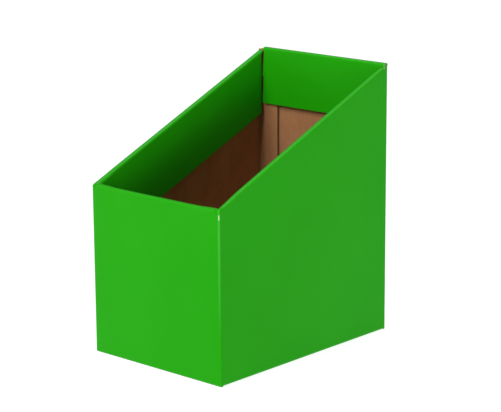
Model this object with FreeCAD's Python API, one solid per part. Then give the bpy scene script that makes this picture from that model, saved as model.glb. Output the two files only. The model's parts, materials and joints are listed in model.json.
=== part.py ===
"""Open book box with sloping sides, folded from one sheet of green-faced corrugated board.

Units are millimetres, +Z is up, -Y is the low front, and the origin is the middle of the
underside. Every panel between two creases is a board solid and a thin printed facing solid.
"""
import FreeCAD
import Part
import math
import os

Vector = FreeCAD.Vector

# Overall box, measured over the outside of the walls
width = 174.0
depth = 254.0
back_height = 283.0
front_height = 174.5
shoulder = 1.5            # the sloping rims end this far below the back corners

# Sheet
board = 2.7               # corrugated board
facing = 0.3              # printed and laminated facing glued on its outside
fold_radius = 2.6         # outside radius of a crease

# Rolled rim: the board turns over the top of each wall and hangs down inside it
rim_slack = 0.5           # air between a wall and its folded-in flap, at the crease
rim_end_gap = 0.3         # between a rim and the corner ear beside it
flap_reach = 60.0         # rim top to the free edge of the flap
flap_lean = 3.0           # degrees that a flap stands off its wall
flap_clearance = 0.7      # between neighbouring flaps
flap_step_drop = 31.0     # rim top to the step in the ends of the front and back flaps

# Glued corner
tab_width = 25.0
tab_taper = 6.0           # the tab's ends slope by this much
tab_foot = 12.0           # height of its lower end
tab_clearance = 0.4       # between the top of the tab and the back flap that leans over it
glue = 0.15

# Tuck-in base
panel_gap = 0.3           # between the base panel and the hinge wall
side_gap = 0.5            # between the base panel and the front and back walls
tuck_gap = 2.2            # between the tongue and the wall that it tucks behind
tongue_height = 14.0
tongue_inset = 3.0        # at each end, at the foot of the tongue
tongue_taper = 9.0        # more at each end, at its free edge
dust_length = 85.0
dust_taper = 6.0
layer_gap = 0.3           # between the dust flaps and what is under or beside them

wall = board + facing
rim_width = 2.0 * wall + rim_slack
slope_rise = back_height - shoulder - front_height
slope_length = math.hypot(depth, slope_rise)
slope_sin = slope_rise / slope_length
slope_cos = depth / slope_length
lean_sin = math.sin(math.radians(flap_lean))


def prism(points, push):
    """Closed outline through the points, pushed into a solid."""
    loop = list(points) + [points[0]]
    return Part.Face(Part.makePolygon(loop)).extrude(push)


def slab(low, high):
    """Box between two opposite corners."""
    size = high.sub(low)
    return Part.makeBox(size.x, size.y, size.z, low)


def bent_outline(span, inset, place):
    """Section of a strip of board with a rounded fold at each end.

    It lies between 0 and span one way and between 0, its outside, and wall the other way.
    inset takes it in from the outside, and place turns the two distances into a point.
    """
    radius = fold_radius - inset
    low = inset
    high = span - inset
    corner = inset + radius * (1.0 - math.sqrt(0.5))
    edges = [
        Part.LineSegment(place(low, wall), place(low, inset + radius)),
        Part.Arc(place(low, inset + radius), place(corner, corner), place(low + radius, inset)),
        Part.LineSegment(place(low + radius, inset), place(high - radius, inset)),
        Part.Arc(place(high - radius, inset), place(span - corner, corner),
                 place(high, inset + radius)),
        Part.LineSegment(place(high, inset + radius), place(high, wall)),
        Part.LineSegment(place(high, wall), place(low, wall)),
    ]
    return Part.Face(Part.Wire([edge.toShape() for edge in edges]))


def bent_panel(span, push, place):
    """Board and facing of a panel with a rounded fold along two edges."""
    whole = bent_outline(span, 0.0, place).extrude(push)
    core = bent_outline(span, facing, place).extrude(push)
    return {"board": core, "facing": whole.cut(core)}


def flat_panel(points, outward):
    """Board and facing of a flat panel whose inner face is outlined, outward being a unit vector."""
    lifted = [point.add(outward * board) for point in points]
    return {"board": prism(points, outward * board), "facing": prism(lifted, outward * facing)}


def each(panel, change):
    """The same change made to the board and to the facing."""
    return {layer: change(shape) for layer, shape in panel.items()}


def mirrored(panel):
    """The panel on the left that matches one on the right."""
    return each(panel, lambda shape: shape.mirror(Vector(0, 0, 0), Vector(1, 0, 0)))


def rim_frame(turn, origin):
    """Placement of a level rim: along it, inward over the wall, and up."""
    return FreeCAD.Placement(origin, FreeCAD.Rotation(Vector(0, 0, 1), turn))


def slope_frame():
    """Placement of the right rim, which climbs from the front outer corner to the back."""
    along = Vector(0, slope_cos, slope_sin)
    inward = Vector(-1, 0, 0)
    up = Vector(0, -slope_sin, slope_cos)
    corner = Vector(width / 2, -depth / 2, front_height)
    return FreeCAD.Placement(corner, FreeCAD.Rotation(along, inward, up, "XYZ"))


def placed(panel, placement):
    """The panel moved from its own frame into the box."""
    return each(panel, lambda shape: shape.transformed(placement.toMatrix()))


def slope_top(y):
    """Height of the outer fold of a sloping rim at a distance y from the middle."""
    return front_height + (y + depth / 2) * slope_rise / depth


def end_wall(height, side):
    """Front wall (side -1) or back wall (side 1), with the rounded corner folds at its ends."""
    outside = side * depth / 2

    def place(across, inward):
        return Vector(across - width / 2, outside - side * inward, 0)

    panel = bent_panel(width, Vector(0, 0, height), place)
    seat = slab(Vector(rim_width - width / 2, -depth, height - wall),
                Vector(width / 2 - rim_width, depth, height + wall))
    return each(panel, lambda shape: shape.cut(seat))


def right_wall():
    """Side wall under the sloping rim, with an ear at each corner beside the rim's ends."""
    inside = width / 2 - wall
    end = depth / 2 - wall
    ear = depth / 2 - rim_width
    seat_drop = wall / slope_cos
    outline = [
        (-end, 0.0),
        (end, 0.0),
        (end, back_height),
        (ear, back_height),
        (ear, slope_top(ear) - seat_drop),
        (-ear, slope_top(-ear) - seat_drop),
        (-ear, slope_top(-ear)),
        (-end, slope_top(-end)),
    ]
    return flat_panel([Vector(inside, y, z) for y, z in outline], Vector(1, 0, 0))


def rim(start, stop):
    """Strip that lies over a wall's top edge, in the rim's own frame."""

    def place(inward, down):
        return Vector(start, inward, -down)

    return bent_panel(rim_width, Vector(stop - start, 0, 0), place)


def flap(outline):
    """Flap that hangs from a rim's inner fold, from its outline as (along, down) pairs."""
    back = rim_width - wall
    points = [Vector(along, back, -down) for along, down in outline]
    crease = Vector(0, rim_width, 0)
    upright = flat_panel(points, Vector(0, 1, 0))
    return each(upright, lambda shape: shape.rotated(crease, Vector(1, 0, 0), flap_lean))


def end_flap():
    """Front or back flap, stepped at both ends to clear the leaning side flaps."""
    upper = rim_width + flap_clearance + flap_step_drop * lean_sin
    lower = rim_width + flap_clearance + flap_reach * lean_sin
    return flap([
        (upper, wall),
        (upper, flap_step_drop),
        (lower, flap_step_drop),
        (lower, flap_reach),
        (width - lower, flap_reach),
        (width - lower, flap_step_drop),
        (width - upper, flap_step_drop),
        (width - upper, wall),
    ])


def side_flap():
    """Flap of the sloping rim, cut plumb at the back and sloped away from the front flap."""
    limit = rim_width + flap_clearance

    def back_end(down):
        lean = (down / slope_cos + shoulder) * lean_sin
        return (depth - limit - lean - down * slope_sin) / slope_cos

    front_top = (limit - wall * slope_sin) / slope_cos
    front_foot = front_top + (flap_reach - wall) * slope_sin / slope_cos
    return flap([
        (front_top, wall),
        (front_foot, flap_reach),
        (back_end(flap_reach), flap_reach),
        (back_end(wall), wall),
    ])


def glue_tab():
    """Tab that carries on from the left wall behind the back wall, and its film of glue."""
    face = depth / 2 - wall
    corner = wall - width / 2
    top = back_height - (glue + board + tab_clearance - rim_slack) / lean_sin
    outline = [
        (corner, tab_foot),
        (corner + tab_width, tab_foot + tab_taper),
        (corner + tab_width, top - tab_taper),
        (corner, top),
    ]
    film = [Vector(x, face - glue, z) for x, z in outline]
    tab = [Vector(x, face - glue - board, z) for x, z in outline]
    return {
        "glue_tab": prism(tab, Vector(0, board, 0)),
        "glue_line": prism(film, Vector(0, glue, 0)),
    }


def base_panel():
    """Bottom panel, which hangs from the right wall and closes the whole base."""
    left = wall + tuck_gap - width / 2
    right = width / 2 - wall - panel_gap
    end = depth / 2 - wall - side_gap
    corners = [(left, -end), (right, -end), (right, end), (left, end)]
    return flat_panel([Vector(x, y, wall) for x, y in corners], Vector(0, 0, -1))


def tuck_tongue():
    """Tongue along the base panel's free edge, tucked up inside the left wall."""
    inner = 2.0 * wall + tuck_gap - width / 2
    foot = depth / 2 - wall - side_gap - tongue_inset
    tip = foot - tongue_taper
    outline = [(-foot, wall), (foot, wall), (tip, tongue_height), (-tip, tongue_height)]
    return flat_panel([Vector(inner, y, z) for y, z in outline], Vector(-1, 0, 0))


def dust_flap(side):
    """Inner base flap of the front wall (side -1) or back wall (side 1).

    The back one is cut short beside the glue tab, so that it can fold up past it.
    """
    beside_tongue = 2.0 * wall + tuck_gap - width / 2 + layer_gap
    beside_tab = wall - width / 2 + tab_width + side_gap
    left = beside_tongue if side < 0 else max(beside_tongue, beside_tab)
    right = width / 2 - wall - side_gap
    root = side * (depth / 2 - wall - layer_gap)
    tip = root - side * dust_length
    corners = [
        (left, root),
        (right, root),
        (right - dust_taper, tip),
        (left + dust_taper, tip),
    ]
    inner = 2.0 * wall + layer_gap
    return flat_panel([Vector(x, y, inner) for x, y in corners], Vector(0, 0, -1))


def rims_and_flaps():
    """The four rolled rims with their flaps, each in its place on the box."""
    start = rim_width + rim_end_gap
    level = rim(start, width - start)
    sloped = rim(start / slope_cos, (depth - start - wall * slope_sin) / slope_cos)
    front = rim_frame(0.0, Vector(-width / 2, -depth / 2, front_height))
    back = rim_frame(180.0, Vector(width / 2, depth / 2, back_height))
    right = slope_frame()
    panels = {
        "front_rim": placed(level, front),
        "back_rim": placed(level, back),
        "right_rim": placed(sloped, right),
        "front_flap": placed(end_flap(), front),
        "back_flap": placed(end_flap(), back),
        "right_flap": placed(side_flap(), right),
    }
    panels["left_rim"] = mirrored(panels["right_rim"])
    panels["left_flap"] = mirrored(panels["right_flap"])
    return panels


def build():
    """Every sub-part of the box by name."""
    panels = {
        "front_wall": end_wall(front_height, -1),
        "back_wall": end_wall(back_height, 1),
        "right_wall": right_wall(),
        "left_wall": mirrored(right_wall()),
        "base_panel": base_panel(),
        "tuck_tongue": tuck_tongue(),
        "front_dust_flap": dust_flap(-1),
        "back_dust_flap": dust_flap(1),
    }
    panels.update(rims_and_flaps())
    parts = glue_tab()
    for panel_name, panel in panels.items():
        for layer, shape in panel.items():
            parts[panel_name + "_" + layer] = shape
    return parts


os.makedirs("parts", exist_ok=True)
for name, shape in build().items():
    shape.exportStep("parts/" + name + ".step")
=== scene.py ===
"""Open book box folded from green-faced corrugated board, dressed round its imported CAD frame.

Every length is in metres in the box's own frame: +Z up, -Y the low front, origin in the middle
of the underside. A panel is three closed sheets, as real board is: the printed skin, the wavy
fluting and the kraft liner.
"""
import json
import logging
import math
from abc import ABC, abstractmethod
from dataclasses import dataclass, field
from enum import Enum

import bpy
import numpy as np
from mathutils import Matrix, Vector


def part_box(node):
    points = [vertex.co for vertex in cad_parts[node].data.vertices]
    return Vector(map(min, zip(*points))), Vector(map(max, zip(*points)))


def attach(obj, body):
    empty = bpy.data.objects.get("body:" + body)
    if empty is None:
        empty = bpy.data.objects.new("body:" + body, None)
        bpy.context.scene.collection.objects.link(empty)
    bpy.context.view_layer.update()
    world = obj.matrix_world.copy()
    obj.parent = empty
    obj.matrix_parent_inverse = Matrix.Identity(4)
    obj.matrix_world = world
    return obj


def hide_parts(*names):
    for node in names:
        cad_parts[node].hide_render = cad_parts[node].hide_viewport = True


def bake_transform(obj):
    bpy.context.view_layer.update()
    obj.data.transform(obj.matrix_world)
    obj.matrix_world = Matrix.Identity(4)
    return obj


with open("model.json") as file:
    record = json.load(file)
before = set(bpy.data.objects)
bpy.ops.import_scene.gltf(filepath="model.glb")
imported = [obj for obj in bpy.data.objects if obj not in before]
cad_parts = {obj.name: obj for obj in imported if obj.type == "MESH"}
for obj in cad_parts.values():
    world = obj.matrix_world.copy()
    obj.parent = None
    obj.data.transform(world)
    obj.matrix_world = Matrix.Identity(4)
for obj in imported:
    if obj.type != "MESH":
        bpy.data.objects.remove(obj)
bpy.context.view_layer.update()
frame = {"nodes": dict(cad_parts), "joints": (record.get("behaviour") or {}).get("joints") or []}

Array = np.ndarray
Colour = tuple[float, float, float]
log = logging.getLogger("book_box")

RIGHT = np.array([1.0, 0.0, 0.0])
REAR = np.array([0.0, 1.0, 0.0])
UP = np.array([0.0, 0.0, 1.0])
QUARTER = math.pi / 2.0
STEP = 0.00002    # an outline jumps from one height to another over this length
BEND = 0.00028    # board beside the middle of a rim that takes up the turn of a joint


def unit(value: Array) -> Array:
    """A value kept between 0 and 1."""
    return np.clip(value, 0.0, 1.0)


def eased(share: Array) -> Array:
    """A share from 0 to 1 with a smooth start and end."""
    return share * share * (3.0 - 2.0 * share)


def cad_box(name: str) -> tuple[Array, Array]:
    """Lowest and highest corner of a CAD node's box."""
    low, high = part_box(name)
    return np.array(low), np.array(high)


def add_object(name: str, data: bpy.types.ID) -> bpy.types.Object:
    """A new object of the scene, at the origin, from its mesh, camera or light."""
    made = bpy.data.objects.new(name, data)
    bpy.context.scene.collection.objects.link(made)
    return made


class Layer(Enum):
    """Face groups of a board, in the order of the material slots of a piece."""

    SKIN = 0
    LINER = 1
    FLUTING = 2
    EDGE = 3


class Rim(Enum):
    """The four rolled rims, by the wall that each one tops."""

    FRONT = "front"
    BACK = "back"
    RIGHT = "right"
    LEFT = "left"


@dataclass(frozen=True)
class Board:
    """Thicknesses of the corrugated board, measured inwards from its printed face."""

    thickness: float = 0.003
    skin: float = 0.0003
    liner: float = 0.00025
    fluting: float = 0.0002
    pitch: float = 0.0064
    fold: float = 0.0026
    tight: float = 0.00005

    def wave(self, run: Array) -> Array:
        """Depth of the fluting's middle: a sine of the distance across the flutes.

        Args:
            run: distance across the flutes, in metres.

        Returns:
            Depth below the printed face at each point.
        """
        middle = (self.skin + self.thickness - self.liner) / 2.0
        swing = (self.thickness - self.liner - self.skin - self.fluting) / 2.0
        return middle + 0.97 * swing * np.sin(2.0 * np.pi * run / self.pitch)

    def centre(self, depth: Array) -> Array:
        """Distance of a fold's centre from both faces: the fold radius, or just over the depth."""
        return np.maximum(self.fold, depth + self.tight)

    def flute_steps(self, length: float) -> int:
        """Number of columns that follow the flutes over a length, eight to each."""
        return int(length / self.pitch * 8.0)


@dataclass(frozen=True)
class BoxSizes:
    """Overall sizes of the box, read from the CAD frame."""

    half_width: float
    half_depth: float
    back_height: float
    front_height: float
    slope: Array
    slope_middle: float
    rim_width: float = 0.0065
    rim_ends: tuple[tuple[float, float], ...] = (
        (0.0068, 0.0068), (0.0083, 0.0006), (0.0068, 0.0068), (0.0068, 0.0042))
    mitre_spread: float = 0.030
    horn_reach: float = 0.0053
    horn_trim: float = 0.0012
    horn_gap: float = 0.0004
    flap_reach: float = 0.060
    flap_step: float = 0.031
    flap_clearance: float = 0.0007
    lean: float = math.radians(3.0)

    @classmethod
    def from_frame(cls) -> "BoxSizes":
        """Sizes from the walls' boxes and the sloping rim's joint."""
        back_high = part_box("back_wall_facing")[1]
        front_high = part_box("front_wall_facing")[1]
        joint = next(j for j in frame["joints"] if j["name"] == "right_rim_unroll")
        return cls(back_high.x, back_high.y, back_high.z, front_high.z,
                   np.array(joint["axis"], float), joint["pos_m"][2])

    def slope_top(self, y: Array) -> Array:
        """Height of the sloping rims' outer fold at a distance y behind the middle."""
        return self.slope_middle + y * self.slope[2] / self.slope[1]

    @property
    def mitre_lift(self) -> float:
        """Half the height between two rims' inner folds at a front corner."""
        return 0.5 * self.rim_width * self.slope[2] / self.slope[1]

    def ends(self, rim: Rim) -> tuple[float, float]:
        """Where a rim's outer fold starts and stops across the box.

        Args:
            rim: one of the four rims.

        Returns:
            Both distances from the middle of its wall.
        """
        first, last = self.rim_ends[list(Rim).index(rim)]
        half = self.half_depth if rim in (Rim.RIGHT, Rim.LEFT) else self.half_width
        return first - half, half - last


# Meshes ------------------------------------------------------------------------------------


@dataclass
class Sheet:
    """A closed sheet between two grids of points of one shape, rows x columns x 3."""

    outer: Array
    inner: Array
    layer: Layer
    run: Array
    crease: Array

    def faces(self) -> tuple[Array, Array]:
        """Quads over both grids and round their border, all facing outwards.

        The order of the corners is reversed where the outer grid would face the inner one.

        Returns:
            The quads and the layer number of each.
        """
        rows, columns = self.outer.shape[:2]
        index = np.arange(rows * columns).reshape(rows, columns)
        quads = np.stack([index[:-1, :-1], index[1:, :-1], index[1:, 1:], index[:-1, 1:]], -1)
        quads = quads.reshape(-1, 4)
        loop = np.concatenate([index[0, :-1], index[:-1, -1], index[-1, :0:-1], index[:0:-1, 0]])
        ahead, count = np.roll(loop, -1), rows * columns
        border = np.stack([loop, ahead, ahead + count, loop + count], -1)
        faces = np.concatenate([quads, (quads + count)[:, ::-1], border])
        across = np.cross(self.outer[1:, :-1] - self.outer[:-1, :-1],
                          self.outer[:-1, 1:] - self.outer[:-1, :-1])
        lift = (self.outer - self.inner)[:-1, :-1]
        if (across * lift).sum() < 0.0:
            faces = faces[:, ::-1]
        back = Layer.LINER if self.layer is Layer.SKIN else self.layer
        edge = Layer.EDGE if self.layer is Layer.SKIN else self.layer
        layers = np.repeat([self.layer.value, back.value, edge.value],
                           [len(quads), len(quads), len(border)])
        return faces, layers


def join_sheets(name: str, sheets: list[Sheet], finishes: dict[Layer, bpy.types.Material]
                ) -> bpy.types.Object:
    """One object from several closed sheets, with the attributes that the finishes read.

    Args:
        name: the piece's name.
        sheets: the sheets, already in their place.
        finishes: material of each layer.

    Returns:
        The new object, at the origin.
    """
    points, quads, layers, runs, creases, start = [], [], [], [], [], 0
    for sheet in sheets:
        faces, numbers = sheet.faces()
        points += [sheet.outer.reshape(-1, 3), sheet.inner.reshape(-1, 3)]
        quads.append(faces + start)
        layers.append(numbers)
        runs += [sheet.run.ravel()] * 2
        creases += [sheet.crease.ravel()] * 2
        start += 2 * sheet.run.size
    used = sorted(set(np.concatenate(layers).tolist()))
    mesh = bpy.data.meshes.new(name)
    mesh.from_pydata(np.concatenate(points).tolist(), [], np.concatenate(quads).tolist())
    for number in used:
        mesh.materials.append(finishes[Layer(number)])
    slots = np.searchsorted(used, np.concatenate(layers)).astype(np.int32)
    mesh.polygons.foreach_set("material_index", slots)
    mesh.polygons.foreach_set("use_smooth", np.ones(len(slots), bool))
    for label, values in (("flute_run", runs), ("crease", creases)):
        attribute = mesh.attributes.new(label, "FLOAT", "POINT")
        attribute.data.foreach_set("value", np.concatenate(values).astype(np.float32))
    mesh.set_sharp_from_angle(angle=math.radians(38.0))
    mesh.validate()
    return add_object(name, mesh)


# Panels and folds --------------------------------------------------------------------------


def shares(count: int, even: bool) -> Array:
    """Shares from 0 to 1, spaced evenly or closer together at both ends."""
    share = np.linspace(0.0, 1.0, count)
    return share if even else 0.5 - 0.5 * np.cos(np.pi * share)


@dataclass
class Surface(ABC):
    """A board surface: a function of two parameters and of the depth below the printed face."""

    board: Board = field(default_factory=Board, kw_only=True)

    @abstractmethod
    def lattice(self, fine: bool) -> tuple[Array, Array]:
        """The two parameters as grids of one shape; fine ones can follow the flutes."""

    @abstractmethod
    def place(self, u: Array, v: Array, depth: Array) -> Array:
        """The point at parameters u and v and at a depth, as an array ending in 3."""

    @abstractmethod
    def run(self, u: Array, v: Array) -> Array:
        """Distance across the flutes at parameters u and v."""

    def crease(self, u: Array, v: Array) -> Array:
        """How much the skin is pulled and cracked by folding, from 0 to 1; the same amount sets a
        painted highlight of lighter ink on the fold.
        """
        return np.zeros(u.shape)

    def sheet(self, layer: Layer) -> Sheet:
        """The sheet of one layer, between its two depths.

        Args:
            layer: SKIN, FLUTING or LINER.

        Returns:
            The closed sheet in its place.
        """
        board = self.board
        u, v = self.lattice(layer is Layer.FLUTING)
        run = self.run(u, v)
        if layer is Layer.SKIN:
            top, bottom = np.zeros(u.shape), np.full(u.shape, board.skin)
        elif layer is Layer.LINER:
            top = np.full(u.shape, board.thickness - board.liner)
            bottom = np.full(u.shape, board.thickness - board.tight)
        else:
            top = board.wave(run) - board.fluting / 2.0
            bottom = top + board.fluting
        return Sheet(self.place(u, v, top), self.place(u, v, bottom), layer, run,
                     self.crease(u, v))


@dataclass(frozen=True)
class Mitre:
    """How a rim's inner edge is drawn up or down where it meets another rim at a corner.

    The height is amount * over * fade, where over grows from 0 at 'zero' to 1 at 'one', and fade
    is a smooth step along the rim that is 1 up to 'full' from its outer corner and 0 beyond.
    """

    amount: float
    corners: tuple[float, ...]
    full: float
    spread: float
    zero: float
    one: float

    def lift(self, along: Array, over: Array) -> Array:
        """Height by which a place on the rim is drawn up.

        Args:
            along: distance along the rim.
            over: distance over the rim.

        Returns:
            The height at each place, below 0 where it is drawn down.
        """
        off = np.min([np.abs(along - corner) for corner in self.corners], axis=0)
        fade = unit(1.0 - (off - self.full) / self.spread)
        share = unit((over - self.zero) / (self.one - self.zero))
        return self.amount * share * eased(fade)


@dataclass
class FlatPanel(Surface):
    """A flat panel: origin + along * a + down * t - normal * depth.

    knots lists (t, lowest a, highest a); between them both ends of the panel run straight.
    flutes gives the distance across the flutes as (per a, per t, at the origin).
    """

    origin: Array
    along: Array
    down: Array
    normal: Array
    knots: list[tuple[float, float, float]]
    flutes: tuple[float, float, float]
    mitre: Mitre | None = None

    def lattice(self, fine: bool) -> tuple[Array, Array]:
        """Columns share the width out, closer at its ends, and rows stand at every knot.

        Args:
            fine: whether to follow the flutes, with more rows where they run across the panel.

        Returns:
            The grids of the share u of the width and of the distance v down the panel.
        """
        t = np.array([k[0] for k in self.knots])
        if fine and abs(self.flutes[1]) > 1e-6:
            t = np.union1d(t, np.linspace(t[0], t[-1], 26))
        widest = max(k[2] - k[1] for k in self.knots)
        count = self.board.flute_steps(widest) if fine else 33
        v, u = np.meshgrid(t, shares(count, fine), indexing="ij")
        return u, v

    def across(self, u: Array, v: Array) -> Array:
        """Distance a along the panel.

        Args:
            u: share of the width.
            v: distance down the panel.

        Returns:
            The distance at each place.
        """
        t, low, high = (np.array(column) for column in zip(*self.knots))
        start, stop = np.interp(v, t, low), np.interp(v, t, high)
        return start + (stop - start) * u

    def place(self, u: Array, v: Array, depth: Array) -> Array:
        """The points of the panel: origin + along * a + down * t - normal * depth + mitre.

        Args:
            u: share of the width.
            v: distance t down the panel.
            depth: depth below the printed face.

        Returns:
            One point for each value.
        """
        a = self.across(u, v)
        lift = self.mitre.lift(a, v) if self.mitre else np.zeros(u.shape)
        return (self.origin + a[..., None] * self.along + v[..., None] * self.down
                - depth[..., None] * self.normal + lift[..., None] * UP)

    def run(self, u: Array, v: Array) -> Array:
        """A straight sum of a and t."""
        return self.flutes[0] * self.across(u, v) + self.flutes[1] * v + self.flutes[2]


@dataclass
class Fold(Surface):
    """A rounded fold between two panels: a leg, a quarter turn, and a stretch over the top.

    In the plane across the fold, the layer at depth d has its turn's centre at (c, c) from the
    corner, with c from Board.centre, and its radius is c - d. The parameter u is the distance along
    the fold, and v is -1 at the foot of the leg, 0 to 1 round the turn, and 2 at the end of the
    stretch.
    """

    corner: Array
    along: Array
    over: Array
    down: Array
    start: float
    stop: float
    reach_over: float = 0.00325
    reach_down: float = 0.003
    flutes: tuple[float, float] = (1.0, 0.0)
    # how far the turn is pulled: a painted highlight of lighter ink and more gloss, and cracks above
    # 0.72
    wear_and_highlight: float = 0.5
    mitre: Mitre | None = None

    def lattice(self, fine: bool) -> tuple[Array, Array]:
        """Columns along the fold, closer at its ends, and rows round its turn.

        Args:
            fine: whether to follow the flutes.

        Returns:
            The grids of u and of v.
        """
        turns = np.concatenate([[-1.0], np.linspace(0.0, 1.0, 7), [2.0]])
        length = self.stop - self.start
        share = shares(self.board.flute_steps(length) if fine else 41, fine)
        v, u = np.meshgrid(turns, self.start + length * share, indexing="ij")
        return u, v

    def place(self, u: Array, v: Array, depth: Array) -> Array:
        """corner + along * u + over * x + down * y, with (x, y) on the layer's rounded line.

        Args:
            u: distance along the fold.
            v: place round the fold.
            depth: depth below the printed face.

        Returns:
            One point for each value.
        """
        centre = self.board.centre(depth)
        angle = unit(v) * QUARTER
        x = centre - (centre - depth) * np.cos(angle)
        y = centre - (centre - depth) * np.sin(angle)
        x = np.where(v > 1.5, self.reach_over, x)
        y = np.where(v < -0.5, np.maximum(self.reach_down, centre + STEP / 2.0), y)
        lift = self.mitre.lift(u, x) if self.mitre else np.zeros(u.shape)
        return (self.corner + u[..., None] * self.along + x[..., None] * self.over
                + y[..., None] * self.down + lift[..., None] * UP)

    def run(self, u: Array, v: Array) -> Array:
        """A straight sum of the distances along the fold and round it."""
        return self.flutes[0] * u + self.flutes[1] * (v - 0.5) * self.board.fold

    def crease(self, u: Array, v: Array) -> Array:
        """Most pull half way round the turn, where the painted highlight of lighter ink is strongest.
        """
        return self.wear_and_highlight * unit(1.0 - np.abs(v - 0.5) / 0.6)


@dataclass
class WallSleeve(Surface):
    """The four walls and the glue tab as one sheet, wrapped round the plan of the box.

    The plan is a chain of straight runs with a quarter turn at each corner. u counts columns of
    that chain, and v is -2 to 0 round the bottom fold and 0 to 1 up the wall. The back corners
    stand up as ears beside the rims' ends: the skin leans away from the right rim and stays below
    the top elsewhere, and the inner layers end at the board's seats.
    """

    sizes: BoxSizes
    tab_lap: float = 0.00015
    tab_taper: float = 0.006
    tab_crush: tuple[float, float] = (0.9, 1.0)
    raw_end: float = 0.0005
    bottom_fold: float = 0.002
    ear_lean: float = 0.0018
    ear_drop: float = 0.0025
    ear_foot: float = 0.0020
    seat_end: float = 0.0034
    row_rise: float = 0.0004
    # Band and amount of the crease mark on each corner fold: cracks on the front right one, and on
    # all four a painted highlight of lighter ink.
    crease_width: float = 0.0022
    wear_and_highlight: tuple[float, ...] = (0.3, 0.45, 1.0, 0.35)
    foot_clearance: float = 0.00035
    base_half_depth: float = 0.1235
    lip_depth: float = 0.0029
    plan: dict[str, Array] = field(default_factory=dict, init=False)

    def __post_init__(self) -> None:
        """Lays out the plan's columns."""
        size, thick = self.sizes, self.board.thickness
        tab_low, tab_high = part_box("glue_tab")
        inner = size.half_depth - thick - self.tab_lap
        corners = np.array([
            [tab_high.x, inner], [-size.half_width, inner], [-size.half_width, -size.half_depth],
            [size.half_width, -size.half_depth], [size.half_width, size.half_depth],
            [self.raw_end - size.half_width, size.half_depth]])
        self.tab = (tab_low.z, tab_high.z)
        self.corners = corners
        lengths = np.hypot(*np.diff(corners, axis=0).T)
        self.reach = np.concatenate([[0.0], np.cumsum(lengths)])
        self.tops, self.seats, self.bottoms, self.folds = self.outline()

    def outline(self) -> tuple[Array, Array, Array, Array]:
        """Skin's top edge, board's top edge, bottom edge and bottom fold, as (distance, value)."""
        size, reach, step = self.sizes, self.reach, STEP
        thick, seat = self.board.thickness, self.board.thickness / self.sizes.slope[1]
        tab_bottom, tab_top = self.tab
        end = reach[1] - self.board.fold
        left, right = (size.ends(rim) for rim in (Rim.LEFT, Rim.RIGHT))
        back, line = size.ends(Rim.BACK), size.slope_top
        high, low = size.back_height, size.front_height
        corner = size.half_depth - self.seat_end

        def on_left(y: float) -> float:
            """Distance along the plan of a point of the left wall, y behind the middle."""
            return reach[1] + self.corners[1, 1] - y

        def on_right(y: float) -> float:
            """Distance along the plan of a point of the right wall, y behind the middle."""
            return reach[3] + y + size.half_depth

        def on_back(x: float) -> float:
            """Distance along the plan of a point of the back wall, x to the right."""
            return reach[4] + size.half_width - x

        turn = self.board.fold
        beside_turn = line(turn - size.half_depth) - seat
        front = [
            (on_left(left[0]), line(left[0]) - seat),
            (reach[2] - turn, beside_turn), (reach[2] + turn, low - thick),
            (reach[3] - turn, low - thick), (reach[3] + turn, beside_turn),
            (on_right(right[0]), line(right[0]) - seat)]
        tab = [(0.0, tab_top - self.tab_taper), (end, tab_top),
               (end + step, high - self.ear_drop)]
        tops = tab + [
            (on_left(left[1]), high - self.ear_drop),
            (on_left(left[1]) + step, line(left[1]) - seat), *front,
            (on_right(right[1]) - step, line(right[1]) - seat),
            (on_right(right[1]), line(right[1]) - self.ear_foot),
            (on_right(right[1] + self.ear_lean), high), (on_back(back[1]), high),
            (on_back(back[1]) + step, high - thick), (on_back(back[0]) - step, high - thick),
            (on_back(back[0]), high - self.ear_drop), (reach[5], high - self.ear_drop)]
        seats = tab[:2] + [
            (end + step, high - thick), (on_left(left[1]), high - thick),
            (on_left(left[1]) + step, line(left[1]) - seat), *front,
            (on_right(corner), line(corner) - seat),
            (on_right(corner) + step, high - thick), (reach[5], high - thick)]
        half = self.base_half_depth
        bottoms = [
            (0.0, tab_bottom + self.tab_taper), (end, tab_bottom), (end + step, 0.0),
            (on_right(-half), 0.0), (on_right(-half) + step, thick),
            (on_right(half) - step, thick), (on_right(half), 0.0), (reach[5], 0.0)]
        folds = [
            (0.0, 0.0), (reach[2] - turn, 0.0), (reach[2] + turn, 1.0), (reach[3] - turn, 1.0),
            (reach[3] + turn, 0.0), (reach[4] - turn, 0.0), (reach[4] + turn, 1.0),
            (reach[5], 1.0)]
        return np.array(tops), np.array(seats), np.array(bottoms), np.array(folds)

    def columns(self, fine: bool) -> dict[str, Array]:
        """Columns along the plan: which run each is on, its share of it, and its turn.

        A column is on straight run number 'run' at share 'share', or, where 'turn' isn't
        negative, at that share of the quarter turn that ends the run. Its distance along the plan
        is 'reach'.

        Args:
            fine: whether the columns follow the flutes.

        Returns:
            An array of each of the four by its name.
        """
        edges = (self.tops, self.seats, self.bottoms, self.folds)
        knots = np.concatenate([edge[:, 0] for edge in edges])
        blocks = []
        for number in range(5):
            first = self.reach[number] + (self.board.fold if number else 0.0)
            last = self.reach[number + 1] - (self.board.fold if number < 4 else 0.0)
            steps = self.board.flute_steps(last - first) if fine else 11
            at = np.union1d(np.linspace(first, last, steps + 1),
                            knots[(knots > first) & (knots < last)])
            blocks.append((np.full(len(at), number), (at - first) / (last - first),
                           np.full(len(at), -1.0), at))
            if number < 4:
                angle = np.linspace(0.0, 1.0, 9)[1:-1]
                blocks.append((np.full(len(angle), number), np.zeros(len(angle)), angle,
                               last + 2.0 * self.board.fold * angle))
        return {name: np.concatenate(values)
                for name, values in zip(("run", "share", "turn", "reach"), zip(*blocks))}

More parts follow.
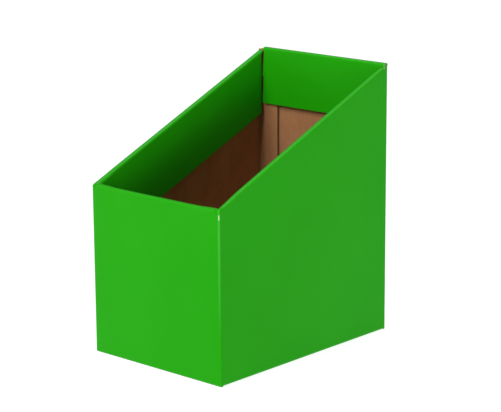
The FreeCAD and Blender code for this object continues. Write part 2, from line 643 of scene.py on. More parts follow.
    def lattice(self, fine: bool) -> tuple[Array, Array]:
        """Columns along the plan, and rows up the wall, with more round the bottom fold.

        Args:
            fine: whether the columns follow the flutes, which need only three rows.

        Returns:
            The grids of the column numbers u and of the rows v.
        """
        self.plan = self.columns(fine)
        rows = np.array([-2.0, 0.5, 1.0]) if fine else np.concatenate(
            [[-2.0], np.linspace(-1.0, 0.0, 6), np.linspace(0.0, 1.0, 41)[1:]])
        v, u = np.meshgrid(rows, np.arange(len(self.plan["run"])), indexing="ij")
        return u, v

    def place(self, u: Array, v: Array, depth: Array) -> Array:
        """Point of the plan at the column's place, offset inwards, and its height.

        A straight run lies at its distance inside the line between two corners. A turn has its
        centre c inside both faces. Round the bottom fold the skin's offset grows to the lip's, and
        its height falls to its depth; the inner layers stay upright, and their rows rise a little
        so that no two meet.

        Args:
            u: column number.
            v: row, from -2 to 1.
            depth: depth below the printed face.

        Returns:
            One point for each value.
        """
        plan, radius = self.plan, self.bottom_fold
        run, share, turn, reach = (plan[k][u] for k in ("run", "share", "turn", "reach"))
        low = np.interp(reach, *self.bottoms.T)
        inner_layer = depth > self.board.skin * 1.5
        high = np.where(inner_layer, np.interp(reach, *self.seats.T),
                        np.interp(reach, *self.tops.T))
        fold = np.interp(reach, *self.folds.T)
        angle = unit(-v) * QUARTER
        skin = np.minimum(depth, radius * 0.9)
        inset = np.where(v < 0.0, radius - (radius - skin) * np.cos(angle), depth)
        inset = np.where(v < -1.5, self.lip_depth, inset)
        lift = np.where(v < 0.0, radius - (radius - skin) * np.sin(angle), radius)
        lift = np.where(v < -1.5, skin, lift)
        inset = np.where(inner_layer, depth, depth + (inset - depth) * fold)
        rise = self.row_rise * np.clip(v + 2.0, 0.0, 2.0)
        foot = np.maximum(low, fold * np.where(v < 0.0, lift, radius)) + (1.0 - fold) * rise
        foot = np.where(inner_layer, np.maximum(low, fold * self.foot_clearance) + rise, foot)
        height = foot + (high - foot) * unit(v)
        beside_fold = [self.reach[1] - 0.006, self.reach[1] - 0.003]
        inset = inset * np.interp(reach, beside_fold, self.tab_crush)
        heading = np.diff(self.corners, axis=0)
        heading /= np.hypot(*heading.T)[:, None]
        inward = np.stack([-heading[:, 1], heading[:, 0]], -1)
        centre = self.board.centre(inset)
        begin, close = np.where(run > 0, centre, 0.0), np.where(run < 4, centre, 0.0)
        span = np.diff(self.reach)[run]
        straight = (self.corners[run] + inward[run] * inset[..., None]
                    + heading[run] * (begin + (span - begin - close) * share)[..., None])
        sweep = unit(turn) * QUARTER
        bend = centre - inset
        corner = (self.corners[run + 1] + (inward[run] - heading[run]) * centre[..., None]
                  - inward[run] * (bend * np.cos(sweep))[..., None]
                  + heading[run] * (bend * np.sin(sweep))[..., None])
        flat = np.where((turn < 0.0)[..., None], straight, corner)
        return np.concatenate([flat, height[..., None]], -1)

    def run(self, u: Array, v: Array) -> Array:
        """Distance along the plan: the flutes stand upright in every wall."""
        return self.plan["reach"][u] + 0.0 * v

    def crease(self, u: Array, v: Array) -> Array:
        """Crease mark on the corner folds, most on the front right one and near its top: cracks
        there, and on every corner a painted highlight of lighter ink that fades towards the bottom.

        Args:
            u: column number.
            v: row.

        Returns:
            Crease amount from 0 to 1 at each place.
        """
        off = np.abs(self.plan["reach"][u][..., None] - self.reach[1:5]) / self.crease_width
        crease_amount = (self.wear_and_highlight * unit(1.0 - off)).max(axis=-1)
        # the painted highlight fades towards the bottom of the wall
        return crease_amount * (0.12 + 0.88 * unit((v - 0.25) / 0.55))


@dataclass
class CornerWeb(Surface):
    """The rolled web of skin that closes a front corner between two rims.

    The hood's section is carried from the front rim's end round the corner to the side rim's
    end: each point is shared out between the outer line, rounded at the fold, and the inner line.
    """

    sizes: BoxSizes
    side: float
    lap: float = 0.0003
    proud: float = 0.00003

    def lattice(self, fine: bool) -> tuple[Array, Array]:
        """Columns round the corner and rows over the hood."""
        share = shares(25, True)
        v, u = np.meshgrid(share, share, indexing="ij")
        return u, v

    def place(self, u: Array, v: Array, depth: Array) -> Array:
        """Outer line plus a share of the way to the inner line, under the rims' own heights.

        With w the rim's width and m the lift at the mitre, the hood's top is front + m * share
        before the mitre and slope(y) - m * share after it. Its section is sheared to the slope's
        own square section by the end of the second half.

        Args:
            u: share of the way round the corner, from the front rim.
            v: share of the way over the hood, from its outer foot.
            depth: depth below the printed face.

        Returns:
            One point for each value.
        """
        size, radius, wide = self.sizes, self.board.fold, self.sizes.rim_width
        straight = size.rim_ends[0][0] - radius
        walk = u * (2.0 * straight + radius * QUARTER)
        sweep = np.clip((walk - straight) / radius, 0.0, QUARTER)
        first = np.clip(straight - walk, 0.0, straight)
        last = np.clip(walk - straight - radius * QUARTER, 0.0, straight)
        across = radius - radius * np.sin(sweep) + first
        back = radius - radius * np.cos(sweep) + last
        spare = size.rim_ends[0][0] - wide
        inner_across, inner_back = wide + spare * (1.0 - u), wide + spare * u
        angle = unit(v * 3.0 - 0.5) * QUARTER
        angle_in = unit(v * 3.0 - 1.5) * QUARTER
        bend = radius - depth
        over = radius - bend * np.cos(angle)
        over = over + (wide - 2.0 * radius) * unit(v * 6.0 - 3.0)
        over = over + bend * np.sin(angle_in)
        drop = np.where(v < 0.5, radius - bend * np.sin(angle), radius - bend * np.cos(angle_in))
        foot = self.board.thickness + self.lap - radius
        drop = drop + foot * (unit(1.0 - 6.0 * v) + unit(6.0 * v - 5.0))
        share = over / wide
        x = across + (inner_across - across) * share
        y = back + (inner_back - back) * share
        ramp = eased(unit(2.0 * u - 1.0))
        cosine, sine = size.slope[1], size.slope[2]
        lift = size.mitre_lift * share
        level = size.front_height + lift - drop
        sloped = size.slope_top(y - size.half_depth) - lift - drop * (1.0 - (1.0 - cosine) * ramp)
        y = y + drop * sine * ramp
        z = np.where(u < 0.5, level, sloped)
        return np.stack([self.side * (size.half_width - x + self.proud),
                         y - size.half_depth - self.proud, z], -1)

    def run(self, u: Array, v: Array) -> Array:
        """Distance round the corner."""
        return u * 2.0 * self.sizes.rim_width

    def crease(self, u: Array, v: Array) -> Array:
        """Some pull along the mitre: a painted highlight of lighter ink and more gloss, too little
        for cracks.
        """
        return unit(1.0 - np.abs(u - 0.5) / 0.12) * 0.5


# Finishes ----------------------------------------------------------------------------------


class Nodes:
    """A node tree with short calls for adding and joining nodes."""

    def __init__(self, tree: bpy.types.NodeTree) -> None:
        """Takes the tree that the nodes are added to."""
        self.tree = tree

    def add(self, kind: str, settings: dict | None = None, **inputs: object) -> bpy.types.Node:
        """Adds a node, sets its properties, and gives its inputs values or links.

        Args:
            kind: the node's type.
            settings: properties of the node.
            inputs: value or source socket of each input, by its name with _ for a space or by
                its number after the letter n.

        Returns:
            The new node.
        """
        node = self.tree.nodes.new(kind)
        for name, value in (settings or {}).items():
            setattr(node, name, value)
        for name, value in inputs.items():
            numbered = name[0] == "n" and name[1:].isdigit()
            socket = node.inputs[int(name[1:]) if numbered else name.replace("_", " ")]
            if isinstance(value, bpy.types.NodeSocket):
                self.tree.links.new(value, socket)
            else:
                socket.default_value = value
        return node

    def link(self, source: bpy.types.NodeSocket, target: bpy.types.NodeSocket) -> None:
        """Joins an output to an input."""
        self.tree.links.new(source, target)

    def group(self, tree: bpy.types.NodeTree, **inputs: object) -> bpy.types.Node:
        """Adds a node group with values or sources for its inputs."""
        return self.add("ShaderNodeGroup", {"node_tree": tree}, **inputs)

    def place(self) -> bpy.types.NodeSocket:
        """The object's own coordinates."""
        return self.add("ShaderNodeTexCoord").outputs["Object"]

    def math(self, operation: str, *values: object, clamp: bool = False) -> bpy.types.NodeSocket:
        """The result of a Math node on values or sockets."""
        inputs = {f"n{number}": value for number, value in enumerate(values)}
        node = self.add("ShaderNodeMath", {"operation": operation, "use_clamp": clamp}, **inputs)
        return node.outputs[0]

    def mix(self, share: object, first: object, second: object) -> bpy.types.NodeSocket:
        """Two colours mixed.

        Args:
            share: how much of the second there is, a number or a socket.
            first: a colour or a socket.
            second: a colour or a socket.

        Returns:
            The mixed colour's socket.
        """
        node = self.add("ShaderNodeMix", {"data_type": "RGBA"})
        for number, value in ((0, share), (6, first), (7, second)):
            if isinstance(value, bpy.types.NodeSocket):
                self.tree.links.new(value, node.inputs[number])
            else:
                node.inputs[number].default_value = value if number == 0 else (*value, 1.0)
        return node.outputs[2]

    def spread(self, value: object, low: object, high: object, first: float, last: float
               ) -> bpy.types.NodeSocket:
        """A value carried from one range to another, and kept inside it."""
        node = self.add("ShaderNodeMapRange", None, Value=value, From_Min=low, From_Max=high,
                        To_Min=first, To_Max=last)
        return node.outputs[0]

    def noise(self, place: bpy.types.NodeSocket, scale: float, detail: float = 3.0,
              stretch: Colour = (1.0, 1.0, 1.0)) -> bpy.types.NodeSocket:
        """Noise, stretched along the object's axes.

        Args:
            place: the coordinates.
            scale: how fine the noise is.
            detail: how many finer layers it has.
            stretch: scale of the coordinates along each axis.

        Returns:
            The noise's value.
        """
        bed = self.add("ShaderNodeMapping", None, Vector=place, Scale=stretch)
        node = self.add("ShaderNodeTexNoise", None, Vector=bed.outputs[0], Scale=scale,
                        Detail=detail)
        return node.outputs[0]

    def attribute(self, name: str) -> bpy.types.NodeSocket:
        """A number stored on the mesh under a name."""
        return self.add("ShaderNodeAttribute", {"attribute_name": name}).outputs["Fac"]


def new_group(name: str, inputs: dict[str, object], outputs: dict[str, str]
              ) -> tuple[Nodes, bpy.types.Node, bpy.types.Node]:
    """An empty shader node group with named sockets.

    Args:
        name: the group's name.
        inputs: default value of each input; a number or three numbers for a colour.
        outputs: type of each output, "FLOAT" or "COLOR".

    Returns:
        The group's nodes, its input node and its output node.
    """
    tree = bpy.data.node_groups.new(name, "ShaderNodeTree")
    kinds = {"FLOAT": "NodeSocketFloat", "COLOR": "NodeSocketColor"}
    for label, value in inputs.items():
        is_colour = isinstance(value, tuple)
        socket = tree.interface.new_socket(name=label, in_out="INPUT",
                                           socket_type=kinds["COLOR" if is_colour else "FLOAT"])
        socket.default_value = (*value, 1.0) if is_colour else value
    for label, kind in outputs.items():
        tree.interface.new_socket(name=label, in_out="OUTPUT", socket_type=kinds[kind])
    nodes = Nodes(tree)
    return nodes, nodes.add("NodeGroupInput"), nodes.add("NodeGroupOutput")


class Effects:
    """The effects that several finishes share, each a node group built once."""

    def __init__(self) -> None:
        """Builds the four groups."""
        self.fibres = self.build_fibres()
        self.washboard = self.build_washboard()
        self.wear_and_highlight = self.build_wear_and_highlight()
        self.dust = self.build_dust()

    def build_fibres(self) -> bpy.types.NodeTree:
        """Paper fibres: fine streaks along the sheet, soft clouds and a few dark specks."""
        nodes, given, result = new_group(
            "paper_fibres", {"Base": (0.4, 0.3, 0.2), "Dark": (0.2, 0.1, 0.05), "Contrast": 0.3},
            {"Tone": "COLOR", "Height": "FLOAT"})
        place = nodes.place()
        streaks = nodes.noise(place, 900.0, 4.0, (1.0, 1.0, 0.16))
        clouds = nodes.noise(place, 38.0, 3.0, (1.0, 1.0, 0.45))
        specks = nodes.spread(nodes.noise(place, 620.0, 2.0), 0.68, 0.76, 0.0, 1.0)
        blend = nodes.math("ADD", nodes.spread(streaks, 0.35, 0.7, 0.0, 0.5),
                           nodes.spread(clouds, 0.35, 0.68, 0.0, 0.6))
        blend = nodes.math("MULTIPLY", blend, given.outputs["Contrast"], clamp=True)
        toned = nodes.mix(blend, given.outputs["Base"], given.outputs["Dark"])
        speckled = nodes.math("MULTIPLY", specks, 0.45)
        nodes.link(nodes.mix(speckled, toned, given.outputs["Dark"]),
                             result.inputs["Tone"])
        nodes.link(nodes.math("ADD", streaks, nodes.math("MULTIPLY", clouds, 0.7)),
                             result.inputs["Height"])
        return nodes.tree

    def build_washboard(self) -> bpy.types.NodeTree:
        """The flutes showing faintly through a sheet, with the fine peel of a pressed film."""
        nodes, given, result = new_group(
            "washboard", {"Flutes": 0.3, "Peel": 0.3, "Pitch": 0.0064}, {"Height": "FLOAT"})
        turns = nodes.math("DIVIDE", nodes.attribute("flute_run"), given.outputs["Pitch"])
        wave = nodes.math("SINE", nodes.math("MULTIPLY", turns, 2.0 * math.pi))
        place = nodes.place()
        peel = nodes.noise(place, 340.0, 2.0)
        nodes.link(
            nodes.math("ADD", nodes.math("MULTIPLY", wave, given.outputs["Flutes"]),
                       nodes.math("MULTIPLY", peel, given.outputs["Peel"])),
            result.inputs["Height"])
        return nodes.tree

    def build_wear_and_highlight(self) -> bpy.types.NodeTree:
        """Cracking along the folds, and a pulled film that also sets a painted highlight of lighter
        ink; cracks lie between Foot and just over Top.
        """
        nodes, given, result = new_group(
            "fold_wear", {"Cracks": 1.0, "Top": 0.1665, "Foot": 0.161},
            {"Stretch": "FLOAT", "Crack": "FLOAT"})
        crease = nodes.attribute("crease")
        place = nodes.place()
        high = nodes.add("ShaderNodeSeparateXYZ", None, Vector=place).outputs[2]
        near_top = nodes.spread(high, given.outputs["Foot"], given.outputs["Top"], 0.0, 1.0)
        flecks = nodes.noise(place, 210.0, 4.0, (1.0, 1.0, 0.55))
        limit = nodes.spread(near_top, 0.5, 1.0, 0.72, 0.46)
        ceiling = nodes.math("GREATER_THAN", high, nodes.math("ADD", given.outputs["Top"], 0.0035))
        broken = nodes.math("SUBTRACT", nodes.math("GREATER_THAN", flecks, limit), ceiling,
                            clamp=True)
        core = nodes.spread(crease, 0.72, 0.95, 0.0, 1.0)
        crack = nodes.math("MULTIPLY", nodes.math("MULTIPLY", broken, core),
                           given.outputs["Cracks"], clamp=True)
        nodes.link(crease, result.inputs["Stretch"])
        nodes.link(crack, result.inputs["Crack"])
        return nodes.tree

    def build_dust(self) -> bpy.types.NodeTree:
        """Paper dust that settles on faces turned up, and rubbed patches."""
        nodes, given, result = new_group("paper_dust", {"Amount": 0.3}, {"Mask": "FLOAT"})
        place = nodes.place()
        face = nodes.add("ShaderNodeNewGeometry").outputs["Normal"]
        rise = nodes.add("ShaderNodeSeparateXYZ", None, Vector=face).outputs[2]
        grains = nodes.spread(nodes.noise(place, 1500.0, 1.0), 0.62, 0.8, 0.0, 1.0)
        patches = nodes.spread(nodes.noise(place, 16.0, 3.0), 0.4, 0.7, 0.2, 1.0)
        settled = nodes.math("MULTIPLY", nodes.spread(rise, 0.15, 0.9, 0.0, 1.0), patches)
        mask = nodes.math("MULTIPLY", nodes.math("MULTIPLY", grains, settled),
                          given.outputs["Amount"], clamp=True)
        nodes.link(mask, result.inputs["Mask"])
        return nodes.tree


@dataclass(frozen=True)
class Finish(ABC):
    """A finish that makes one material."""

    name: str

    @abstractmethod
    def dress(self, nodes: Nodes, shader: bpy.types.Node, effects: Effects) -> None:
        """Adds the finish's nodes and joins them to the shader."""

    def material(self, effects: Effects) -> bpy.types.Material:
        """The material, with one Principled shader fed by the finish's nodes.

        Args:
            effects: the shared node groups.

        Returns:
            The new material.
        """
        made = bpy.data.materials.new(self.name)
        made.use_nodes = True
        shader = made.node_tree.nodes["Principled BSDF"]
        self.dress(Nodes(made.node_tree), shader, effects)
        return made


def relief(nodes: Nodes, shader: bpy.types.Node, height: bpy.types.NodeSocket, distance: float,
           strength: float = 1.0) -> None:
    """Joins a height to the shader's normal.

    Args:
        nodes: the material's nodes.
        shader: the Principled shader.
        height: the height socket.
        distance: how far a height of 1 stands up, in metres.
        strength: how much of the relief shows.
    """
    bump = nodes.add("ShaderNodeBump", None, Height=height, Distance=distance, Strength=strength)
    nodes.link(bump.outputs[0], shader.inputs["Normal"])


@dataclass(frozen=True)
class GreenFilm(Finish):
    """Green print under a clear film, glossier where a fold has pulled it, with a painted highlight
    of lighter ink along the folds.
    """

    name: str = "green_film"
    base: Colour = (0.0140, 0.320, 0.0028)
    deep: Colour = (0.0125, 0.304, 0.0022)
    # painted highlight: the lighter green laid on the folds' ink
    fold_highlight: Colour = (0.034, 0.45, 0.010)
    torn: Colour = (0.78, 0.80, 0.62)
    tint: Colour = (0.16, 0.95, 0.09)
    roughness: float = 0.33
    specular: float = 0.11

    def dress(self, nodes: Nodes, shader: bpy.types.Node, effects: Effects) -> None:
        """Even ink with faint clouds; folds get a painted highlight of lighter ink and more gloss,
        and cracks show paper.

        Args:
            nodes: the material's nodes.
            shader: its Principled shader.
            effects: the shared node groups.
        """
        place = nodes.place()
        clouds = nodes.spread(nodes.noise(place, 9.0, 3.0), 0.38, 0.66, 0.0, 1.0)
        ink = nodes.mix(clouds, self.base, self.deep)
        wear_and_highlight = nodes.group(effects.wear_and_highlight)
        dust = nodes.group(effects.dust, Amount=0.08)
        # painted highlight: the ink is lightened along the folds
        pale = nodes.math("MULTIPLY", wear_and_highlight.outputs["Stretch"], 0.55, clamp=True)
        ink = nodes.mix(pale, ink, self.fold_highlight)
        ink = nodes.mix(wear_and_highlight.outputs["Crack"], ink, self.torn)
        ink = nodes.mix(dust.outputs["Mask"], ink, (0.45, 0.55, 0.40))
        nodes.link(ink, shader.inputs["Base Color"])
        rubbed = nodes.spread(nodes.noise(place, 46.0, 4.0), 0.35, 0.75,
                              self.roughness - 0.015, self.roughness + 0.02)
        rough = nodes.math("ADD", rubbed, nodes.math("MULTIPLY", wear_and_highlight.outputs["Crack"], 0.4))
        nodes.link(rough, shader.inputs["Roughness"])
        board = nodes.group(effects.washboard, Flutes=0.35, Peel=0.08)
        relief(nodes, shader, board.outputs["Height"], 0.00002)
        nodes.link(nodes.math("MULTIPLY", wear_and_highlight.outputs["Stretch"], 0.9),
                             shader.inputs["Coat Weight"])
        shader.inputs["Coat Roughness"].default_value = 0.12
        shader.inputs["Specular IOR Level"].default_value = self.specular
        shader.inputs["Specular Tint"].default_value = (*self.tint, 1.0)


@dataclass(frozen=True)
class Kraft(Finish):
    """Brown kraft paper: the board's liner, its fluting, or its cut edges."""

    name: str = "kraft_liner"
    base: Colour = (0.405, 0.186, 0.082)
    dark: Colour = (0.24, 0.094, 0.033)
    contrast: float = 0.55
    roughness: float = 0.86
    flutes: float = 0.45

    def dress(self, nodes: Nodes, shader: bpy.types.Node, effects: Effects) -> None:
        """Fibres and clouds in the colour, with the flutes pressed faintly through.

        Args:
            nodes: the material's nodes.
            shader: its Principled shader.
            effects: the shared node groups.
        """
        paper = nodes.group(effects.fibres, Base=(*self.base, 1.0), Dark=(*self.dark, 1.0),
                            Contrast=self.contrast)
        dust = nodes.group(effects.dust, Amount=0.15)
        tone = nodes.mix(dust.outputs["Mask"], paper.outputs["Tone"], (0.56, 0.43, 0.30))
        nodes.link(tone, shader.inputs["Base Color"])
        rough = nodes.spread(paper.outputs["Height"], 0.5, 1.2, self.roughness - 0.05,
                             self.roughness + 0.06)
        nodes.link(rough, shader.inputs["Roughness"])
        board = nodes.group(effects.washboard, Flutes=self.flutes, Peel=0.2)
        height = nodes.math("ADD", board.outputs["Height"],
                            nodes.math("MULTIPLY", paper.outputs["Height"], 0.9))
        relief(nodes, shader, height, 0.00009)
        shader.inputs["Specular IOR Level"].default_value = 0.25


@dataclass(frozen=True)
class DriedGlue(Finish):
    """A thin film of dried carton glue, amber and a little glossy."""

    name: str = "dried_glue"
    base: Colour = (0.62, 0.50, 0.28)

    def dress(self, nodes: Nodes, shader: bpy.types.Node, effects: Effects) -> None:
        """Blotchy colour with stringy relief.

        Args:
            nodes: the material's nodes.
            shader: its Principled shader.
            effects: the shared node groups, which it does without.
        """
        place = nodes.place()
        blots = nodes.noise(place, 130.0, 3.0, (1.0, 1.0, 0.3))
        nodes.link(nodes.mix(nodes.spread(blots, 0.35, 0.65, 0.0, 1.0), self.base,
                                       (0.42, 0.30, 0.13)), shader.inputs["Base Color"])
        nodes.link(nodes.spread(blots, 0.3, 0.7, 0.3, 0.55),
                             shader.inputs["Roughness"])
        relief(nodes, shader, blots, 0.0001)


@dataclass(frozen=True)
class StudioFloor(Finish):
    """Plain white sweep, lit evenly from within."""

    name: str = "studio_floor"
    glow: float = 0.88

    def dress(self, nodes: Nodes, shader: bpy.types.Node, effects: Effects) -> None:
        """White, with a trace of unevenness in its gloss.

        Args:
            nodes: the material's nodes.
            shader: its Principled shader.
            effects: the shared node groups, which it does without.
        """
        place = nodes.place()
        nodes.link(nodes.spread(nodes.noise(place, 3.0), 0.3, 0.7, 0.86, 0.92),
                             shader.inputs["Roughness"])
        shader.inputs["Base Color"].default_value = (0.30, 0.30, 0.30, 1.0)
        shader.inputs["Emission Color"].default_value = (1.0, 1.0, 1.0, 1.0)
        shader.inputs["Emission Strength"].default_value = self.glow
        shader.inputs["Specular IOR Level"].default_value = 0.0


def make_finishes() -> dict[Layer, bpy.types.Material]:
    """Material of each layer of the board, with the glue's on its CAD node."""
    effects = Effects()
    cut = Kraft("pale_paper_edge", (0.62, 0.60, 0.42), (0.42, 0.36, 0.22), 0.4, 0.9, 0.0)
    fluting = Kraft("kraft_fluting", (0.36, 0.22, 0.12), (0.20, 0.11, 0.055), 0.6, 0.92, 0.0)
    glue = frame["nodes"]["glue_line"].data.materials
    glue.clear()
    glue.append(DriedGlue().material(effects))
    return {Layer.SKIN: GreenFilm().material(effects), Layer.LINER: Kraft().material(effects),
            Layer.FLUTING: fluting.material(effects), Layer.EDGE: cut.material(effects)}


# Sub-assemblies ----------------------------------------------------------------------------


@dataclass
class SubAssembly(ABC):
    """Something that builds pieces of the box, and puts its walls and flat panels on their bodies."""

    sizes: BoxSizes
    finishes: dict[Layer, bpy.types.Material]

    def dress(self, name: str, surfaces: list[Surface], extra: list[Sheet] | None = None
              ) -> tuple[bpy.types.Object, bpy.types.Object]:
        """Makes the printed piece and the board piece of some surfaces.

        Args:
            name: the name that both pieces start with.
            surfaces: the surfaces, in their place.
            extra: more skin sheets for the printed piece.

        Returns:
            The printed piece and the board piece.
        """
        skins = [surface.sheet(Layer.SKIN) for surface in surfaces] + (extra or [])
        inside = [surface.sheet(layer) for surface in surfaces
                  for layer in (Layer.FLUTING, Layer.LINER)]
        printed = join_sheets(name + "_print", skins, self.finishes)
        board = join_sheets(name + "_core", inside, self.finishes)
        log.info("%s: %d and %d faces", name, len(printed.data.polygons),
                 len(board.data.polygons))
        return printed, board

    def flat(self, name: str, surface: FlatPanel) -> None:
        """Makes a flat panel that rides on its own body.

        Args:
            name: name of the panel, of its CAD nodes and of its body.
            surface: the panel in its place.
        """
        for piece, layer in zip(self.dress(name, [surface]), ("facing", "board")):
            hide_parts(f"{name}_{layer}")
            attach(piece, name)

    def bend(self, name: str, fold: Fold, bodies: tuple[str, str],
             spans: tuple[tuple[Array, Array], tuple[Array, Array]]
             ) -> tuple[bpy.types.Object, bpy.types.Object]:
        """Makes the printed piece and the board piece of a fold, left in their place.

        Args:
            name: the name that both pieces start with.
            fold: the fold in its place.
            bodies: not used.
            spans: not used.

        Returns:
            The printed piece and the board piece.
        """
        pieces = self.dress(name, [fold])
        for piece, span in zip(pieces, spans):
            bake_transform(piece)
        return pieces

    @abstractmethod
    def build(self) -> None:
        """Builds every piece of the sub-assembly."""


@dataclass
class Walls(SubAssembly):
    """The sleeve of four walls with its glue tab, and the two webs at the front corners."""

    def build(self) -> None:
        """Builds the printed sleeve with its webs, and the board inside."""
        webs = [CornerWeb(self.sizes, side).sheet(Layer.SKIN) for side in (1.0, -1.0)]
        printed, board = self.dress("walls", [WallSleeve(self.sizes)], webs)
        names = [rim.value + "_wall_" for rim in Rim]
        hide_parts(*(name + "facing" for name in names))
        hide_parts(*(name + "board" for name in names), "glue_tab")
        for piece in (printed, board):
            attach(piece, "walls")


@dataclass
class RolledRim(SubAssembly):
    """A rim rolled over the top of one wall, with the flap that hangs from it."""

    rim: Rim

    def __post_init__(self) -> None:
        """Sets out the rim's own frame at its outer fold."""
        size = self.sizes
        slope = size.slope
        rise = np.array([0.0, -slope[2], slope[1]])
        middle = np.array([size.half_width, 0.0, size.slope_middle])
        low = np.array([0.0, -size.half_depth, size.front_height])
        high = np.array([0.0, size.half_depth, size.back_height])
        frames = {
            Rim.FRONT: (low, RIGHT, REAR, -UP), Rim.BACK: (high, RIGHT, -REAR, -UP),
            Rim.RIGHT: (middle, slope, -RIGHT, -rise),
            Rim.LEFT: (middle * [-1.0, 1.0, 1.0], slope, RIGHT, -rise)}
        self.corner, self.along, self.over, self.down = frames[self.rim]
        self.sloped = self.rim in (Rim.RIGHT, Rim.LEFT)
        self.cosine, self.sine = slope[1:] if self.sloped else (1.0, 0.0)
        self.crease = self.corner + self.over * size.rim_width
        self.hang = self.down * math.cos(size.lean) + self.over * math.sin(size.lean)
        self.face = self.over * math.cos(size.lean) - self.down * math.sin(size.lean)

    def ends(self) -> tuple[float, float]:
        """Where the rim starts and stops along its own line, from the middle of the wall."""
        first, last = self.sizes.ends(self.rim)
        return first / self.cosine, last / self.cosine

    def mitre(self, zero: float, one: float) -> Mitre | None:
        """The lift of the rim's inner edge at the front corners.

        Args:
            zero: distance over the rim, or down the flap, at which there is none.
            one: distance at which there is all of it.

        Returns:
            The lift, or None for the back rim, which is level.
        """
        size = self.sizes
        if self.rim is Rim.BACK:
            return None
        if self.sloped:
            corners, amount = (-size.half_depth / self.cosine,), -size.mitre_lift
        else:
            corners, amount = (-size.half_width, size.half_width), size.mitre_lift
        return Mitre(amount, corners, size.rim_width, size.mitre_spread, zero, one)

    def flap_knots(self) -> list[tuple[float, float, float]]:
        """Outline of the flap, as (distance down, start, stop) rows.

        The end flaps are stepped. The back one fills the rim's longer right end with a horn.
        """
        size, thick = self.sizes, Board.thickness
        top, reach, step = thick, size.flap_reach, size.flap_step
        lean, limit = math.sin(size.lean), size.rim_width + size.flap_clearance
        if not self.sloped:
            upper = size.half_width - limit - step * lean
            lower = size.half_width - limit - reach * lean
            rows = [(top, -upper, upper), (step, -upper, upper), (step + STEP, -lower, lower),
                    (reach, -lower, lower)]
            if self.rim is Rim.BACK:
                horn = size.ends(Rim.BACK)[1]
                neck = size.half_width - size.rim_width - size.horn_gap
                left = size.horn_trim - upper
                rows[:1] = [(top, left, horn), (size.horn_reach, left, horn),
                            (size.horn_reach + STEP, left, neck)]
            return rows
        cosine, sine = self.cosine, self.sine
        shoulder = size.back_height - size.slope_top(size.half_depth)

        def front_end(t: float) -> float:
            """Start of the flap along the rim, at a distance t down the flap."""
            return (limit + (t - 2.0 * thick) * sine - size.half_depth) / cosine

        def back_end(t: float) -> float:
            """End of the flap along the rim, at a distance t down the flap."""
            off = (t / cosine + shoulder) * lean
            return (size.half_depth - limit - off - t * sine) / cosine

        return [(t, front_end(t), back_end(t)) for t in (top, 0.5 * reach, reach)]

    def build(self) -> None:
        """Builds the outer fold, the inner fold and the flap; only the flap rides on a body of its
        own.
        """
        wide, thick, name = self.sizes.rim_width, Board.thickness, self.rim.value
        rim_body, flap_body = name + "_rim", name + "_flap"
        start, stop = self.ends()
        cosine, sine = self.cosine, -self.sine
        middle = self.corner + self.over * wide / 2.0
        nudge = self.over * BEND
        folds = {
            "outer_fold": (
                Fold(self.corner, self.along, self.over, self.down, start, stop,
                     flutes=(cosine, sine), mitre=self.mitre(0.0, wide)),
                ("walls", rim_body),
                ((self.corner + self.down * thick, middle), (middle - nudge, middle))),
            "inner_fold": (
                Fold(self.crease, self.along, -self.over, self.hang, start, stop,
                     flutes=(cosine, -sine), mitre=self.mitre(wide, 0.0)),
                (rim_body, flap_body),
                ((middle, self.crease + self.hang * thick), (middle, middle + nudge)))}
        for label, (fold, bodies, spans) in folds.items():
            printed, board = self.bend(f"{rim_body}_{label}", fold, bodies, spans)
            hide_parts(rim_body + "_facing")
            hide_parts(rim_body + "_board")
        self.flat(flap_body, FlatPanel(
            self.crease, self.along, self.hang, self.face, self.flap_knots(),
            (cosine, sine, sine * wide), self.mitre(self.sizes.flap_step, thick)))


@dataclass
class TuckBase(SubAssembly):
    """The base panel with its tongue, and the two dust flaps above it."""

    dust_taper: float = 0.006
    tongue_taper: float = 0.009

    def build(self) -> None:
        """Builds the panels and the folds between them."""
        low, high = cad_box("base_panel_facing")
        thick, half, end = Board.thickness, self.sizes.rim_width / 2.0, high[1]
        across = (1.0, 0.0, 0.0)
        hinge = np.array([self.sizes.half_width, 0.0, 0.0])
        gap = self.sizes.half_width - high[0]
        tuck = np.array([low[0], 0.0, 0.0])
        self.flat("base_panel", FlatPanel(
            np.array([high[0], 0.0, 0.0]), REAR, -RIGHT, -UP,
            [(0.0, -end, end), (high[0] - low[0] - half, -end, end)], across))
        tongue_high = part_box("tuck_tongue_facing")[1]
        foot = tongue_high[1]
        tip = foot - self.tongue_taper
        self.flat("tuck_tongue", FlatPanel(
            tuck, REAR, UP, -RIGHT, [(thick, -foot, foot), (tongue_high[2], -tip, tip)], across))
        self.bend(
            "base_fold", Fold(hinge, REAR, -RIGHT, UP, -end, end, gap, wear_and_highlight=0.0),
            ("walls", "base_panel"),
            ((hinge + UP * thick, hinge - RIGHT * gap),
             (hinge - RIGHT * (half - BEND), hinge - RIGHT * gap)))
        self.bend(
            "tongue_fold", Fold(tuck, REAR, RIGHT, UP, -foot, foot),
            ("base_panel", "tuck_tongue"),
            ((tuck + RIGHT * half, tuck + UP * thick),
             (tuck + RIGHT * half, tuck + RIGHT * (half - BEND))))
        for side, name in ((-1.0, "front_dust_flap"), (1.0, "back_dust_flap")):
            low, high = cad_box(name + "_facing")
            root, tip = (low[1], high[1]) if side < 0.0 else (high[1], low[1])
            self.flat(name, FlatPanel(
                np.array([0.0, root, low[2]]), RIGHT, -side * REAR, -UP,
                [(0.0, low[0], high[0]),
                 (abs(tip - root), low[0] + self.dust_taper, high[0] - self.dust_taper)],
                across))


# Studio ------------------------------------------------------------------------------------


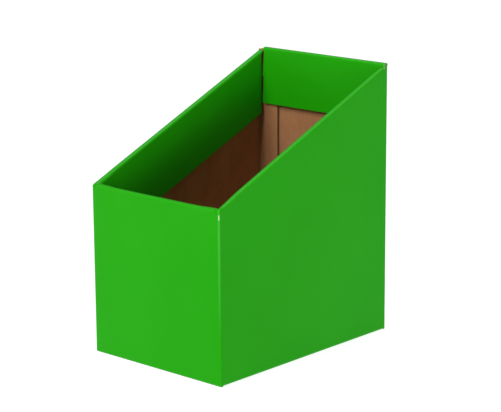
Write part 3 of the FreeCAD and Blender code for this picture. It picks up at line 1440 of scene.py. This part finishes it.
@dataclass(frozen=True)
class StudioCamera:
    """Camera by its bearing, and by the point of the box that it is centred on."""

    azimuth: float = 42.346
    elevation: float = 13.678
    roll: float = -0.371
    distance: float = 1.9821
    aim: tuple[float, float, float] = (0.0, 0.0, 0.1415)
    aside: float = 0.008536
    above: float = 0.000828
    lens: float = 139.88

    def build(self) -> None:
        """Makes the camera and sets it as the scene's."""
        turn, tilt, lean = (math.radians(v) for v in (self.azimuth, self.elevation, self.roll))
        ahead = Vector((-math.sin(turn) * math.cos(tilt), math.cos(turn) * math.cos(tilt),
                        -math.sin(tilt)))
        right = ahead.cross(Vector((0.0, 0.0, 1.0))).normalized()
        up = right.cross(ahead)
        sideways = right * math.cos(lean) + up * math.sin(lean)
        upright = up * math.cos(lean) - right * math.sin(lean)
        place = (Vector(self.aim) - ahead * self.distance + sideways * self.aside
                 + upright * self.above)
        data = bpy.data.cameras.new("studio_camera")
        data.lens, data.sensor_width = self.lens, 36.0
        data.clip_start, data.clip_end = 0.05, 60.0
        camera = add_object("studio_camera", data)
        camera.matrix_world = (Matrix.Translation(place)
                               @ Matrix((sideways, upright, -ahead)).transposed().to_4x4())
        bpy.context.scene.camera = camera


@dataclass(frozen=True)
class SoftLight:
    """A rectangular soft box that looks at a point."""

    name: str
    place: tuple[float, float, float]
    size: tuple[float, float]
    power: float
    colour: Colour = (1.0, 1.0, 1.0)
    target: tuple[float, float, float] = (0.0, 0.0, 0.15)

    def build(self) -> None:
        """Makes the light."""
        data = bpy.data.lights.new(self.name, "AREA")
        data.shape = "RECTANGLE"
        data.size, data.size_y = self.size
        data.energy, data.color = self.power, self.colour
        light = add_object(self.name, data)
        light.location = self.place
        aim = Vector(self.target) - Vector(self.place)
        light.rotation_euler = aim.to_track_quat("-Z", "Y").to_euler()


@dataclass(frozen=True)
class Studio:
    """White floor, soft boxes and a pale surround."""

    floor_half: float = 9.0
    surround: float = 0.22
    lights: tuple[SoftLight, ...] = (
        SoftLight("key_light", (-0.3, -2.1, 1.9), (1.4, 1.4), 63.0),
        SoftLight("side_fill", (2.4, -0.4, 0.42), (1.2, 0.6), 20.0),
        SoftLight("top_light", (-0.6, 0.5, 2.4), (1.6, 1.6), 18.0),
    )

    def build(self) -> None:
        """Makes the floor, the lights and the surround."""
        half = self.floor_half
        mesh = bpy.data.meshes.new("studio_floor")
        mesh.from_pydata([(-half, -half, 0.0), (half, -half, 0.0), (half, half, 0.0),
                          (-half, half, 0.0)], [], [(0, 1, 2, 3)])
        mesh.materials.append(StudioFloor().material(None))
        floor = add_object("studio_floor", mesh)
        for light in self.lights:
            light.build()
        world = bpy.data.worlds.new("studio_surround")
        world.use_nodes = True
        back = world.node_tree.nodes["Background"]
        back.inputs["Color"].default_value = (1.0, 1.0, 1.0, 1.0)
        back.inputs["Strength"].default_value = self.surround
        bpy.context.scene.world = world
        bpy.context.scene.view_settings.view_transform = "Standard"


def main() -> None:
    """Builds the studio and the box, in order."""
    logging.basicConfig(level=logging.INFO, format="%(name)s: %(message)s")
    StudioCamera().build()
    Studio().build()
    sizes = BoxSizes.from_frame()
    finishes = make_finishes()
    Walls(sizes, finishes).build()
    for rim in Rim:
        RolledRim(sizes, finishes, rim).build()
    TuckBase(sizes, finishes).build()


if __name__ == "__main__":
    main()
